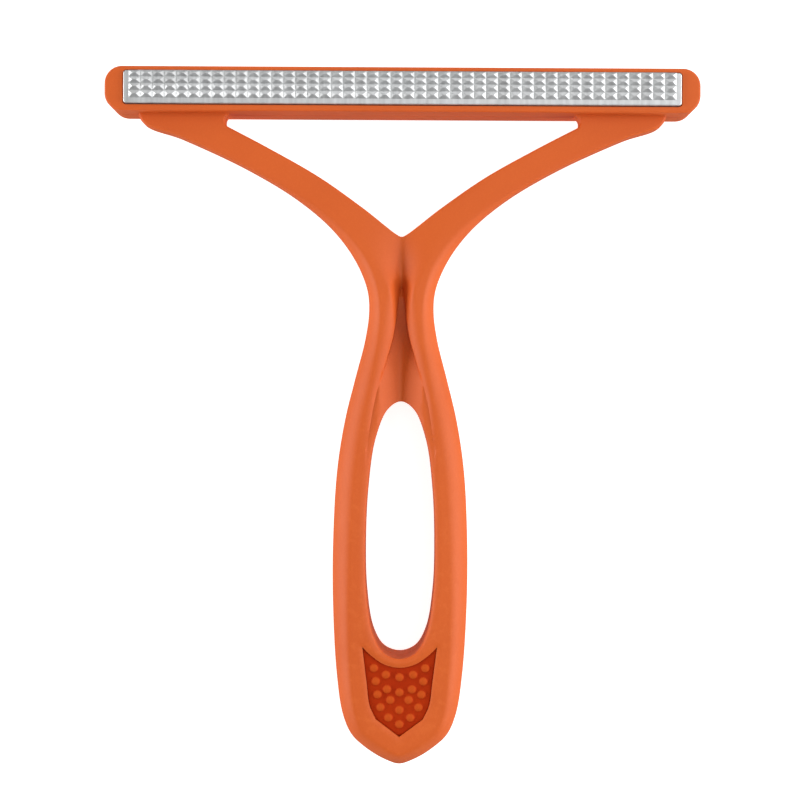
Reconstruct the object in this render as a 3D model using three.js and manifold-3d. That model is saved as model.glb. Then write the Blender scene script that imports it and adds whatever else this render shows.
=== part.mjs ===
// Deshedding tool: a flat, two-sided scraper that lifts loose hair from a coat.
//
// Two moulded half shells meet on the mid-plane and make one wishbone: a straight head bar, two
// arms that run together into a neck, and a handle with a finger loop. Each face of the head bar
// holds a toothed metal strip bonded into a pocket, and each face of the handle's lower end holds
// a soft pad with raised nubs. Screws under the front strip and the front pad clamp the shells.
//
// Millimetres. +Y runs from the handle's tip to the head bar, +X across the head bar, +Z out of
// the front face. The tool lies on its back: z = 0 is the surface under it.

import * as THREE from 'three';
import { mergeVertices } from 'three/addons/utils/BufferGeometryUtils.js';
import { ConvexGeometry } from 'three/addons/geometries/ConvexGeometry.js';
import Module from 'manifold-3d';

const wasm = await Module();
wasm.setup();

// ---- Driving dimensions ----

const HALF_LENGTH = 95.8; // tip at -Y, top of the head bar at +Y
const HALF_HEAD = 81.5; // half the width of the head bar
const HALF_DEPTH = 8; // mid-plane to the tooth crests, and to the face of the handle's lower end

const BAR_HEIGHT = 12.24;
const BAR_HALF_DEPTH = 6.8;
const BAR_CORNER = 4.8;
const BAR_EDGE = 0.8; // rounding between the bar's faces and its rim
const BAR_TOP = HALF_LENGTH;
const BAR_BOTTOM = BAR_TOP - BAR_HEIGHT;
const ARM_OVERLAP = 2; // how far the arms run up into the bar

// Each arm's outer edge above the neck, from its root in the bar.
const ARM_KNOTS = [[73.4, BAR_BOTTOM + ARM_OVERLAP], [71.6, 81], [61.3, 77.1], [43, 68.7]];
const STUB_KNOTS = [[34, 80]];
const ARM_START = 47; // the rounded outer edge fades out here, where the arms get thin

const FLANK_WIDTH = 2.7; // the handle's rounded outer edge, seen from the front
const FLANK_DEPTH = 3;
const FLANK_STEPS = 2;

const PAD_FLAT_TOP = -60; // the handle's lower end is flat from here
const PAD_FLAT_BOTTOM = -91.5; // to here

const LOOP_FLARE_START = 6; // height above the mid-plane where the loop's edge starts to open
const LOOP_FLARE = 2.5; // and how far it opens by the time it leaves the handle

const WEB_FLOOR = 2.4; // half thickness of the web between the rods, on its centre line
const WEB_SLOPE = 0.5; // rise of the web's floor per millimetre away from the centre line

const WALL = 2.2;
const FLANK_WALL = 3.4; // wall behind the rounded outer edge
const LIMB_CAVITY_TOP = 5.4;
const END_CAVITY_TOP = 4.2;
const CAVITY_UPPER_END = -4;
const CAVITY_LOWER_END = -89;

const STRIP_LENGTH = 152.4;
const STRIP_HEIGHT = 9;
const STRIP_TOP = BAR_TOP - 1.4;
const STRIP_BOTTOM = STRIP_TOP - STRIP_HEIGHT;
const STRIP_MARGIN = 1.44; // plain band along the strip's lower edge
const STRIP_MARGIN_FACE = 7.35;
const STRIP_EDGE = 0.4; // chamfer round the strip's plain edges
const TOOTH_ROWS = 4;
const TOOTH_COLUMNS = 46;
const TOOTH_PITCH = 3.25; // along the strip
const TOOTH_RIDGE = 0.9; // length of the crest on each tooth
const TOOTH_ROOT = 7.15;
const POCKET_FLOOR = 5.6;
const POCKET_GAP = 0.25;
const ADHESIVE_THICKNESS = 0.2;
const ADHESIVE_INSET = 0.5;

const PAD_RECESS_FLOOR = 6.4;
const PAD_FACE = 7.2;
const PAD_GAP = 0.2;
const NUB_RADIUS = 1.15;
const NUB_HEIGHT = 0.6;
const NUB_SEGMENTS = 8;

const SCREW_HEAD_RADIUS = 2.6;
const SCREW_HEAD_HEIGHT = 1.6;
const SCREW_SHANK_RADIUS = 1.3;
const SCREW_LENGTH = 8; // under the head
const SCREW_POINT = 1;
const SCREW_SEGMENTS = 16;
const CROSS_WIDTH = 0.7;
const CROSS_LENGTH = 2.8;
const CROSS_DEPTH = 0.9;
const COUNTERBORE_RADIUS = 2.9;
const COUNTERBORE_DEPTH = 1.8;
const CLEARANCE_RADIUS = 1.6;
const PILOT_RADIUS = 1.4;
const PILOT_DEPTH = 4.5; // below the mid-plane
const BOSS_RADIUS = 3.6;
const BAR_SCREW_X = [-66, -22, 22, 66];
const END_SCREW_Y = -76;

const PEG_RADIUS = 1.5;
const PEG_HEIGHT = 2;
const PEG_CLEARANCE = 0.15;
const PEG_PLACES = [[-39.5, 71], [39.5, 71], [-11, 3], [11, 3]];

const PLENTY = 200; // longer than anything it has to cut through

// ---- Solids ----

function toSolid(geometry) {
  geometry.deleteAttribute('normal');
  geometry.deleteAttribute('uv');
  const merged = mergeVertices(geometry, 1e-4);
  return new wasm.Manifold(new wasm.Mesh({
    numProp: 3,
    vertProperties: merged.attributes.position.array,
    triVerts: new Uint32Array(merged.index.array),
  }));
}

function toGeometry(solid) {
  const mesh = solid.getMesh();
  const geometry = new THREE.BufferGeometry();
  geometry.setAttribute('position', new THREE.BufferAttribute(mesh.vertProperties, 3));
  geometry.setIndex(new THREE.BufferAttribute(mesh.triVerts, 1));
  geometry.computeVertexNormals();
  return geometry;
}

// A plan outline raised from one height to another, grown outwards by an offset.
function raised(shape, bottom, top, grow = 0) {
  const geometry = new THREE.ExtrudeGeometry(shape, {
    depth: top - bottom,
    bevelEnabled: true,
    bevelSegments: 0,
    bevelThickness: 0,
    bevelSize: 0,
    bevelOffset: grow,
  });
  geometry.translate(0, 0, bottom);
  return toSolid(geometry);
}

// A plan outline centred on the mid-plane, with its edges rounded over.
function roundedSlab(shape, halfDepth, edgeWidth, edgeDepth, steps) {
  const straight = 2 * (halfDepth - edgeDepth);
  const geometry = new THREE.ExtrudeGeometry(shape, {
    depth: straight,
    bevelEnabled: true,
    bevelSegments: steps,
    bevelThickness: edgeDepth,
    bevelSize: edgeWidth,
    bevelOffset: -edgeWidth,
  });
  geometry.translate(0, 0, -straight / 2);
  return toSolid(geometry);
}

// A profile drawn in Y (its x) and Z (its y), run along X.
function runAlongX(shape, length) {
  const geometry = new THREE.ExtrudeGeometry(shape, { depth: length, bevelEnabled: false });
  geometry.translate(0, 0, -length / 2);
  const yAxis = new THREE.Vector3(0, 1, 0);
  const zAxis = new THREE.Vector3(0, 0, 1);
  const xAxis = new THREE.Vector3(1, 0, 0);
  geometry.applyMatrix4(new THREE.Matrix4().makeBasis(yAxis, zAxis, xAxis));
  return toSolid(geometry);
}

// A profile drawn in X (its x) and Z (its y), run along Y between two places.
function runAlongY(shape, start, end) {
  const geometry = new THREE.ExtrudeGeometry(shape, { depth: end - start, bevelEnabled: false });
  const xAxis = new THREE.Vector3(1, 0, 0);
  const zAxis = new THREE.Vector3(0, 0, 1);
  const minusY = new THREE.Vector3(0, -1, 0);
  geometry.applyMatrix4(new THREE.Matrix4().makeBasis(xAxis, zAxis, minusY));
  geometry.translate(0, end, 0);
  return toSolid(geometry);
}

function block(xRange, yRange, zRange) {
  const size = [xRange, yRange, zRange].map(([low, high]) => high - low);
  const centre = [xRange, yRange, zRange].map(([low, high]) => (low + high) / 2);
  const geometry = new THREE.BoxGeometry(...size);
  geometry.translate(...centre);
  return toSolid(geometry);
}

function post(x, y, radius, bottom, top, segments = 16) {
  const geometry = new THREE.CylinderGeometry(radius, radius, top - bottom, segments);
  geometry.rotateX(Math.PI / 2);
  geometry.translate(x, y, (bottom + top) / 2);
  return toSolid(geometry);
}

function joined(solids) {
  return solids.reduce((whole, solid) => whole.add(solid));
}

// ---- Outlines ----

function smooth(points, closed, divisions) {
  const knots = points.map(([x, y]) => new THREE.Vector3(x, y, 0));
  const curve = new THREE.CatmullRomCurve3(knots, closed, 'centripetal');
  const places = curve.getPoints(divisions);
  if (closed) {
    places.pop();
  }
  return places.map(({ x, y }) => new THREE.Vector2(x, y));
}

function mirrored(points) {
  return points.filter(([x]) => x !== 0).reverse().map(([x, y]) => [-x, y]);
}

function polygon(points) {
  return new THREE.Shape(points.map(([x, y]) => new THREE.Vector2(x, y)));
}

function roundedRectangle(halfWidth, bottom, top, radius) {
  const shape = new THREE.Shape();
  shape.absarc(halfWidth - radius, bottom + radius, radius, -Math.PI / 2, 0, false);
  shape.absarc(halfWidth - radius, top - radius, radius, 0, Math.PI / 2, false);
  shape.absarc(radius - halfWidth, top - radius, radius, Math.PI / 2, Math.PI, false);
  shape.absarc(radius - halfWidth, bottom + radius, radius, Math.PI, 1.5 * Math.PI, false);
  return shape;
}

// The outside of the handle, from beside the neck on the right round the tip to the left. The
// knots above the neck come first and are either the arms or a plain stub.
function handleOutline(aboveNeck) {
  const right = [
    ...aboveNeck, [29.1, 60.4], [19.3, 52.1], [13, 43.7], [9.5, 35.4], [8.9, 29.4], [9.9, 21.5],
    [12.7, 10.4], [15.4, -0.8], [17.5, -14.7], [18.5, -34], [18.4, -52], [17.3, -70.3],
    [15.6, -81.4], [13.2, -87], [9.4, -90.6], [3.6, -94.5], [0, -HALF_LENGTH],
  ];
  const knots = [...right, ...mirrored(right)];
  return new THREE.Shape(smooth(knots, false, 3 * (knots.length - 1)));
}

// The open triangle between the bar's underside and the two arms.
function headGap() {
  const cornerRadius = 1.96;
  const cornerX = 47.04;
  const cornerY = BAR_BOTTOM - cornerRadius;
  const tangent = THREE.MathUtils.degToRad(-62);
  const reach = (angle) => [
    cornerX + cornerRadius * Math.cos(angle),
    cornerY + cornerRadius * Math.sin(angle),
  ];
  const right = [[0, 49.8], [1.6, 50.5], [10.7, 57.6], [22.7, 66], [37.3, 74.3], reach(tangent)];
  const side = smooth([...mirrored(right), ...right], false, 40);
  const shape = new THREE.Shape(side);
  shape.absarc(cornerX, cornerY, cornerRadius, tangent, Math.PI / 2, false);
  shape.absarc(-cornerX, cornerY, cornerRadius, Math.PI / 2, Math.PI - tangent, false);
  return shape;
}

function fingerLoop() {
  const right = [
    [0, 4.4], [3.7, 2.1], [7.1, -6.3], [9, -20], [9.6, -35], [9.2, -48], [7.4, -59],
    [4.2, -63.4], [0, -64.9],
  ];
  return new THREE.Shape(smooth([...right, ...mirrored(right)], true, 64));
}

// The pointed arch between the rods' inner edges, over the web and the top of the loop.
function webArch() {
  const right = [
    [0, 36], [1.1, 31], [1.6, 26], [2.4, 21.5], [4, 15.9], [5.6, 10.4], [7.1, 4.8],
    [8.9, -6], [9.4, -13],
  ];
  return new THREE.Shape(smooth([...mirrored(right), ...right], false, 40));
}

// The shield in which the grip pad sits: its top edge follows the loop, its foot is a point.
function shieldOutline() {
  const right = [[0, -68], [4.4, -66.9], [7.8, -64.6], [10.1, -62.3]];
  const top = smooth([...mirrored(right), ...right], false, 12);
  const sideRight = smooth([[10.1, -62.3], [8.9, -71.8], [8, -78.3], [6.4, -82]], false, 9);
  const sideLeft = sideRight.map(({ x, y }) => new THREE.Vector2(-x, y)).reverse();
  const apex = new THREE.Vector2(0, -86.8);
  return new THREE.Shape([...top, ...sideRight.slice(1), apex, ...sideLeft.slice(0, -1)]);
}

// ---- Shells ----

// The front half of the thickness, seen from the side: thin arms, a thicker neck and loop, and a
// flat lower end that rounds off at the tip.
function sideProfile() {
  const crest = smooth([
    [BAR_BOTTOM + ARM_OVERLAP, 3], [76, 3.3], [62, 4.3], [50, 5.5], [40, 6.2], [30, 6.5],
    [10, 6.9], [-15, 7.3], [-40, 7.8], [PAD_FLAT_TOP, HALF_DEPTH],
  ], false, 18);
  const tip = new THREE.QuadraticBezierCurve(
    new THREE.Vector2(PAD_FLAT_BOTTOM, HALF_DEPTH),
    new THREE.Vector2(-94.5, HALF_DEPTH),
    new THREE.Vector2(-HALF_LENGTH - 0.5, 5.8),
  ).getPoints(4);
  const base = [
    new THREE.Vector2(-HALF_LENGTH - 0.5, 0),
    new THREE.Vector2(BAR_BOTTOM + ARM_OVERLAP, 0),
  ];
  return new THREE.Shape([...crest, ...tip, ...base]);
}

// The V between the two arms above the neck, which narrows as it runs down.
function neckValley() {
  const above = HALF_DEPTH + 1;
  const wedge = [
    [0, 56, 3.6], [-20, 56, above], [20, 56, above],
    [0, 20, 3], [-3.2, 20, above], [3.2, 20, above],
  ];
  return toSolid(new ConvexGeometry(wedge.map((corner) => new THREE.Vector3(...corner))));
}

// The space in front of the web: inside the arch and above its V-shaped floor.
function webRecess() {
  const reach = 12;
  const above = WEB_FLOOR + reach * WEB_SLOPE;
  const floor = polygon([[0, WEB_FLOOR], [reach, above], [reach, PLENTY], [-reach, PLENTY], [-reach, above]]);
  const arch = raised(webArch(), 0, HALF_DEPTH + 1);
  return arch.intersect(runAlongY(floor, -PLENTY, PLENTY));
}

function loopOpening() {
  const hole = raised(fingerLoop(), -1, HALF_DEPTH + 1);
  const flare = new THREE.ExtrudeGeometry(fingerLoop(), {
    depth: LOOP_FLARE,
    bevelEnabled: true,
    bevelSegments: 1,
    bevelThickness: LOOP_FLARE,
    bevelSize: LOOP_FLARE,
  });
  flare.translate(0, 0, LOOP_FLARE_START + LOOP_FLARE);
  return hole.add(toSolid(flare));
}

function outerForm() {
  const upperHalf = block([-PLENTY, PLENTY], [-PLENTY, PLENTY], [0, PLENTY]);
  const bar = roundedSlab(
    roundedRectangle(HALF_HEAD, BAR_BOTTOM, BAR_TOP, BAR_CORNER),
    BAR_HALF_DEPTH, BAR_EDGE, BAR_EDGE, 2,
  );
  const arms = raised(handleOutline(ARM_KNOTS), -HALF_DEPTH, HALF_DEPTH)
    .intersect(block([-PLENTY, PLENTY], [ARM_START, PLENTY], [-PLENTY, PLENTY]));
  const stub = handleOutline(STUB_KNOTS);
  const handle = roundedSlab(stub, HALF_DEPTH, FLANK_WIDTH, FLANK_DEPTH, FLANK_STEPS)
    .intersect(block([-PLENTY, PLENTY], [-PLENTY, ARM_START], [-PLENTY, PLENTY]))
    .add(arms)
    .intersect(runAlongX(sideProfile(), PLENTY))
    .subtract(raised(headGap(), -1, HALF_DEPTH + 1))
    .subtract(neckValley())
    .subtract(webRecess())
    .subtract(loopOpening());
  return handle.add(bar.intersect(upperHalf));
}

// The hollow inside: one box in the bar, and a U round the loop and under the pad.
function cavity() {
  const bar = block(
    [-HALF_HEAD + FLANK_WALL, HALF_HEAD - FLANK_WALL],
    [BAR_BOTTOM + WALL, BAR_TOP - WALL],
    [-1, POCKET_FLOOR - WALL],
  );
  const limbs = block([-PLENTY, PLENTY], [PAD_FLAT_TOP, CAVITY_UPPER_END], [-1, LIMB_CAVITY_TOP]);
  const end = block([-PLENTY, PLENTY], [CAVITY_LOWER_END, PAD_FLAT_TOP + 1], [-1, END_CAVITY_TOP]);
  const handle = raised(handleOutline(STUB_KNOTS), -1, HALF_DEPTH, -FLANK_WALL)
    .subtract(raised(fingerLoop(), -2, HALF_DEPTH + 1, WALL))
    .intersect(limbs.add(end));
  const bosses = [
    ...BAR_SCREW_X.map((x) => post(x, stripCentre(), BOSS_RADIUS, -1, HALF_DEPTH)),
    post(0, END_SCREW_Y, BOSS_RADIUS, -1, HALF_DEPTH),
  ];
  return bar.add(handle).subtract(joined(bosses));
}

function stripCentre() {
  return (STRIP_TOP + STRIP_BOTTOM) / 2;
}

function stripPocket() {
  return block(
    [-STRIP_LENGTH / 2 - POCKET_GAP, STRIP_LENGTH / 2 + POCKET_GAP],
    [STRIP_BOTTOM - POCKET_GAP, STRIP_TOP + POCKET_GAP],
    [POCKET_FLOOR, HALF_DEPTH],
  );
}

function halfShell() {
  return outerForm()
    .subtract(cavity())
    .subtract(stripPocket())
    .subtract(raised(shieldOutline(), PAD_RECESS_FLOOR, HALF_DEPTH + 1));
}

// Where each screw stands, and how high its head's seat is above the mid-plane.
function screwPlaces() {
  const underStrip = BAR_SCREW_X.map((x) => [x, stripCentre(), POCKET_FLOOR - COUNTERBORE_DEPTH]);
  return [...underStrip, [0, END_SCREW_Y, PAD_RECESS_FLOOR - COUNTERBORE_DEPTH]];
}

function frontShell() {
  const screwHoles = screwPlaces().flatMap(([x, y, seat]) => [
    post(x, y, COUNTERBORE_RADIUS, seat, HALF_DEPTH + 1),
    post(x, y, CLEARANCE_RADIUS, -1, HALF_DEPTH),
  ]);
  const sockets = PEG_PLACES.map(([x, y]) => (
    post(x, y, PEG_RADIUS + PEG_CLEARANCE, -1, PEG_HEIGHT + PEG_CLEARANCE)
  ));
  return halfShell().subtract(joined([...screwHoles, ...sockets]));
}

// Drawn face up like the front shell, so its pegs and pilot holes point down into the mid-plane.
function rearShell() {
  const pilots = screwPlaces().map(([x, y]) => post(-x, y, PILOT_RADIUS, -1, PILOT_DEPTH));
  const pegs = PEG_PLACES.map(([x, y]) => post(-x, y, PEG_RADIUS, -PEG_HEIGHT, 1));
  return halfShell().subtract(joined(pilots)).add(joined(pegs));
}

// ---- Toothed strip, its bond and the pad ----

// The strip from its end: a plain lower band, then one ridge for each row of teeth.
function ridgeProfile() {
  const rowPitch = (STRIP_HEIGHT - STRIP_MARGIN) / TOOTH_ROWS;
  const back = POCKET_FLOOR + ADHESIVE_THICKNESS;
  const points = [
    [STRIP_TOP, TOOTH_ROOT], [STRIP_TOP, back], [STRIP_BOTTOM, back],
    [STRIP_BOTTOM, STRIP_MARGIN_FACE - STRIP_EDGE],
    [STRIP_BOTTOM + STRIP_EDGE, STRIP_MARGIN_FACE],
    [STRIP_BOTTOM + STRIP_MARGIN - STRIP_EDGE, STRIP_MARGIN_FACE],
  ];
  for (let row = 0; row < TOOTH_ROWS; row += 1) {
    const root = STRIP_BOTTOM + STRIP_MARGIN + row * rowPitch;
    points.push([root, TOOTH_ROOT], [root + rowPitch / 2, HALF_DEPTH]);
  }
  return polygon(points.reverse());
}

// The strip from below: the V cuts that part each ridge into teeth.
function toothProfile() {
  const half = STRIP_LENGTH / 2;
  const firstRoot = -TOOTH_COLUMNS * TOOTH_PITCH / 2;
  const slope = (TOOTH_PITCH - TOOTH_RIDGE) / 2;
  const points = [
    [half, 0], [half, STRIP_MARGIN_FACE - STRIP_EDGE], [half - STRIP_EDGE, STRIP_MARGIN_FACE],
  ];
  for (let column = TOOTH_COLUMNS; column > 0; column -= 1) {
    const root = firstRoot + column * TOOTH_PITCH;
    points.push([root, TOOTH_ROOT], [root - slope, HALF_DEPTH], [root - slope - TOOTH_RIDGE, HALF_DEPTH]);
  }
  points.push([firstRoot, TOOTH_ROOT], [STRIP_EDGE - half, STRIP_MARGIN_FACE]);
  points.push([-half, STRIP_MARGIN_FACE - STRIP_EDGE], [-half, 0]);
  return polygon(points);
}

function toothedStrip() {
  const ridges = runAlongX(ridgeProfile(), STRIP_LENGTH);
  const teeth = runAlongY(toothProfile(), STRIP_BOTTOM - 1, STRIP_TOP + 1);
  return ridges.intersect(teeth);
}

function adhesiveBed() {
  const halfLength = STRIP_LENGTH / 2 - ADHESIVE_INSET;
  return block(
    [-halfLength, halfLength],
    [STRIP_BOTTOM + ADHESIVE_INSET, STRIP_TOP - ADHESIVE_INSET],
    [POCKET_FLOOR, POCKET_FLOOR + ADHESIVE_THICKNESS],
  );
}

// Rows of nubs that follow the shield's hollow top edge and close in towards its point.
function nubPlaces() {
  const rows = [
    { halfPlaces: [0, 3.7, 7], outerY: -68.3, sag: 2.5 },
    { halfPlaces: [0, 3.4, 6.5], outerY: -71.8, sag: 2.8 },
    { halfPlaces: [2.5, 6], outerY: -75.5, sag: 1.8 },
    { halfPlaces: [0, 5.2], outerY: -79, sag: 0.7 },
    { halfPlaces: [3], outerY: -81.8, sag: 0 },
    { halfPlaces: [0], outerY: -83.6, sag: 0 },
  ];
  return rows.flatMap(({ halfPlaces, outerY, sag }) => {
    const outermost = Math.max(...halfPlaces, 1);
    const row = halfPlaces.map((x) => [x, outerY - sag * (1 - (x / outermost) ** 2)]);
    return [...row, ...mirrored(row)];
  });
}

function nub(x, y) {
  const profile = [
    [0, -0.2], [NUB_RADIUS, -0.2], [NUB_RADIUS, 0.1],
    [0.75 * NUB_RADIUS, 0.75 * NUB_HEIGHT], [0, NUB_HEIGHT],
  ].map(([radius, height]) => new THREE.Vector2(radius, height));
  const geometry = new THREE.LatheGeometry(profile, NUB_SEGMENTS);
  geometry.rotateX(Math.PI / 2);
  geometry.translate(x, y, PAD_FACE);
  return toSolid(geometry);
}

function gripPad() {
  const plate = raised(shieldOutline(), PAD_RECESS_FLOOR, PAD_FACE, -PAD_GAP);
  return joined([plate, ...nubPlaces().map(([x, y]) => nub(x, y))]);
}

// ---- Screws ----

// A domed cross-head screw, its seat at the origin and its point below.
function screw() {
  const profile = [
    [0, -SCREW_LENGTH], [SCREW_SHANK_RADIUS / 2, SCREW_POINT / 2 - SCREW_LENGTH],
    [SCREW_SHANK_RADIUS, SCREW_POINT - SCREW_LENGTH], [SCREW_SHANK_RADIUS, 0],
    [SCREW_HEAD_RADIUS, 0], [SCREW_HEAD_RADIUS, SCREW_HEAD_HEIGHT / 2],
    [0.7 * SCREW_HEAD_RADIUS, 0.9 * SCREW_HEAD_HEIGHT], [0, SCREW_HEAD_HEIGHT],
  ].map(([radius, height]) => new THREE.Vector2(radius, height));
  const geometry = new THREE.LatheGeometry(profile, SCREW_SEGMENTS);
  geometry.rotateX(Math.PI / 2);
  const arm = [-CROSS_LENGTH / 2, CROSS_LENGTH / 2];
  const across = [-CROSS_WIDTH / 2, CROSS_WIDTH / 2];
  const depth = [SCREW_HEAD_HEIGHT - CROSS_DEPTH, SCREW_HEAD_HEIGHT + 1];
  return toSolid(geometry).subtract(block(arm, across, depth)).subtract(block(across, arm, depth));
}

// ---- Materials and assembly ----

const orangePlastic = { color: 0xd96537, roughness: 0.5, metalness: 0 };
const softPad = { color: 0xb5441c, roughness: 0.65, metalness: 0 };
const toothedMetal = { color: 0xc4c6c6, roughness: 0.3, metalness: 1 };
const bondFilm = { color: 0x2b2b2b, roughness: 0.8, metalness: 0 };
const screwSteel = { color: 0x8e9094, roughness: 0.35, metalness: 1 };

function piece(name, solid, finish) {
  const mesh = new THREE.Mesh(toGeometry(solid), new THREE.MeshStandardMaterial(finish));
  mesh.name = name;
  return mesh;
}

function frontSide() {
  const side = new THREE.Group();
  side.add(piece('front_shell', frontShell(), orangePlastic));
  side.add(piece('front_toothed_strip', toothedStrip(), toothedMetal));
  side.add(piece('front_strip_adhesive', adhesiveBed(), bondFilm));
  side.add(piece('front_grip_pad', gripPad(), softPad));
  return side;
}

// The rear pieces are made face up and turned over about the tool's long axis.
function rearSide() {
  const side = new THREE.Group();
  side.add(piece('rear_shell', rearShell(), orangePlastic));
  side.add(piece('rear_toothed_strip', toothedStrip(), toothedMetal));
  side.add(piece('rear_strip_adhesive', adhesiveBed(), bondFilm));
  side.add(piece('rear_grip_pad', gripPad(), softPad));
  side.rotation.y = Math.PI;
  return side;
}

function screws() {
  const set = new THREE.Group();
  screwPlaces().forEach(([x, y, seat], index) => {
    const name = y === END_SCREW_Y ? 'handle_screw' : `bar_screw_${index + 1}`;
    const mesh = piece(name, screw(), screwSteel);
    mesh.position.set(x, y, seat);
    set.add(mesh);
  });
  return set;
}

const tool = new THREE.Group();
tool.add(frontSide(), rearSide(), screws());
tool.position.z = HALF_DEPTH;

export default tool;
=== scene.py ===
# The looks of a two-sided deshedding tool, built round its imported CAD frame.
#
# Outlines are in millimetres, drawn in plan with the mid-plane of the tool at height 0, and become
# metres in the frame when a mesh is placed. The rear half is the front half turned over about Y.

import math

import bmesh
import bpy
import numpy as np
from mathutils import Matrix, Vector, geometry


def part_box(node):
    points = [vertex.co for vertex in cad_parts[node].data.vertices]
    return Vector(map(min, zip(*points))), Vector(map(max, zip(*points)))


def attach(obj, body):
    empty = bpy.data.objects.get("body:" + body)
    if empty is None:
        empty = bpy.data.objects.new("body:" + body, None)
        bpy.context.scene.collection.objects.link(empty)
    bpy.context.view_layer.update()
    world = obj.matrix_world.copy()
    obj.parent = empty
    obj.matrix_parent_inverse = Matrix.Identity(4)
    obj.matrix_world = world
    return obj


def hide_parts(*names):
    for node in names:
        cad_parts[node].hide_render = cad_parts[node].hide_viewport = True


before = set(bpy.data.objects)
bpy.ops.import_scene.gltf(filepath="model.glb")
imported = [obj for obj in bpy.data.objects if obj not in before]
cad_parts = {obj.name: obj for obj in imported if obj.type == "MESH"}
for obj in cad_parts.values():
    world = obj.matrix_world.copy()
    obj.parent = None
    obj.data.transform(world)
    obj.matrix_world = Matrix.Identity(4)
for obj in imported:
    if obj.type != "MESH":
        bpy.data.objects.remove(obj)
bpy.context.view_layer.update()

MM = 0.001


def box_mm(node):
    low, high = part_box(node)
    return np.array(low) / MM, np.array(high) / MM


# ---- Driving dimensions, from the frame where a node shows them ----

SHELL_LOW, SHELL_HIGH = box_mm("front_shell")
STRIP_LOW, STRIP_HIGH = box_mm("front_toothed_strip")
PAD_LOW = box_mm("front_grip_pad")[0]
MIDDLE = SHELL_LOW[2]  # height of the mid-plane above the floor

HALF_LENGTH = SHELL_HIGH[1]
HALF_HEAD = SHELL_HIGH[0]
HALF_DEPTH = SHELL_HIGH[2] - MIDDLE

BAR_HEIGHT = 12.24
BAR_TOP = HALF_LENGTH
BAR_BOTTOM = BAR_TOP - BAR_HEIGHT
BAR_FACE = 6.8
BAR_CORNER = 4.8
BAR_EDGE = 0.7
ARM_ROOT = BAR_BOTTOM + 2  # the arms end here, inside the bar

POCKET_FLOOR = 5.6
POCKET_GAP = 0.25
POCKET_CORNER = 1.0
RECESS_FLOOR = PAD_LOW[2] - MIDDLE
PAD_FACE = 7.2
PAD_GAP = 0.05
NUB_RADIUS = 1.25
NUB_HEIGHT = 0.6
NUB_RINGS = [0.25, 0.5, 0.72, 0.9, 1.03, 1.14, 1.22, 1.29]
NUB_CLEARANCE = 1.5
PAD_EDGE_WIDTH = 0.3
PAD_EDGE_DEPTH = 0.25
PAD_GRID_LOW, PAD_GRID_HIGH = (-11, -88), (11, -60)

PARTING_CHAMFER = 0.15
SIDE_REACH = 74  # past the arms' widest point

# ---- How finely the meshes are cut ----

CURVE_STEP = 0.6
GRID_STEP = 0.9
NECK_GRID_STEP = 0.45
NECK_LOW, NECK_HIGH = (-12, 4), (12, 60)  # the finer grid covers this
PAD_GRID_STEP = 0.6
PAD_OUTLINE_STEP = 0.4
EDGE_CLEARANCE = 0.3  # the grid's points stay this far from an edge
FOLD_LIMIT = 0.97  # a moved point nearer to its line than this share of the move has folded over
CHUNK = 2000  # points handled at once where each is compared with a whole line
PAST = 1.0  # how far a cutting shape runs past the face that it cuts


# ---- Outlines, right-hand half only ----

# The handle, the loop and the arch run down from the top, and the gap and the shield outwards from
# the centre line.
ARM_KNOTS = [[73.4, ARM_ROOT], [71.6, 81], [61.3, 77.1], [43, 68.7]]
HANDLE_KNOTS = [
    [29.1, 60.4], [19.3, 52.1], [13, 43.7], [9.5, 35.4], [8.9, 29.4], [9.9, 21.5],
    [12.7, 10.4], [15.4, -0.8], [17.5, -14.7], [18.5, -34], [18.4, -52], [17.3, -70.3],
    [15.6, -81.4], [13.2, -87], [9.4, -90.6], [3.6, -94.2], [0, 0.35 - HALF_LENGTH],
]
GAP_KNOTS = [[0, 49.8], [1.6, 50.5], [10.7, 57.6], [22.7, 66], [37.3, 74.3]]
GAP_CORNER = [47.04, 1.96]  # x of the rounded corner's centre, and its radius
LOOP_KNOTS = [
    [0, 4.4], [3.7, 2.1], [7.1, -6.3], [9, -20], [9.6, -35], [9.2, -48], [7.4, -59],
    [4.4, -64.2], [0, -65.8],
]
ARCH_KNOTS = [
    [0, 36], [1.1, 31], [1.6, 26], [2.4, 21.5], [4, 15.9], [5.6, 10.4], [7.1, 4.8],
    [8.9, -6], [9.4, -13],
]
SHIELD_TOP = [[0, -68.2], [4.4, -67.2], [7.8, -64.9], [10.2, -62.6]]
SHIELD_SIDE = [[10.2, -62.6], [9, -72], [8.1, -78.6], [6.4, -82.3]]
SHIELD_APEX = [0, -87.1]

# Each nub row: distances from the centre line, place along the tool of the row's end, and its sag.
NUB_ROWS = [
    ([0, 3.7, 7], -68.3, 2.5),
    ([0, 3.4, 6.5], -71.9, 3.0),
    ([2.5, 6], -75.5, 1.8),
    ([0, 5.2], -79, 0.7),
    ([3], -81.8, 0),
    ([0], -83.6, 0),
]

# ---- Screws, pegs and hollows ----

# Screws clamp the rear half to the front one, and pegs on the front half locate it.
SCREW_X = [-66, -22, 22, 66]
END_SCREW_Y = -76
PEG_PLACES = [[-39.5, 71], [39.5, 71], [-11, 3], [11, 3]]
BOSS_RADIUS = 3.6
BOSS_DROP = 0.5  # below the floor over the screw
HEAD_RADIUS, HEAD_DEPTH = 2.9, 1.8
SHANK_RADIUS = 1.6
PILOT_RADIUS, PILOT_DEPTH = 1.3, 4.6
PEG_RADIUS, PEG_LENGTH = 1.5, 2
PEG_ROOT = 1  # the peg's start, inside the front half
SOCKET_RADIUS, SOCKET_DEPTH = 1.65, 2.2

# The hollows inside a half.
WALL = 2.2
FLANK_WALL = 3.4
ROD_HOLLOW = (-64, -4)
ROD_HOLLOW_TOP = 5.4
END_HOLLOW = (-89, -68)
END_HOLLOW_TOP = 4.2


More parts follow.
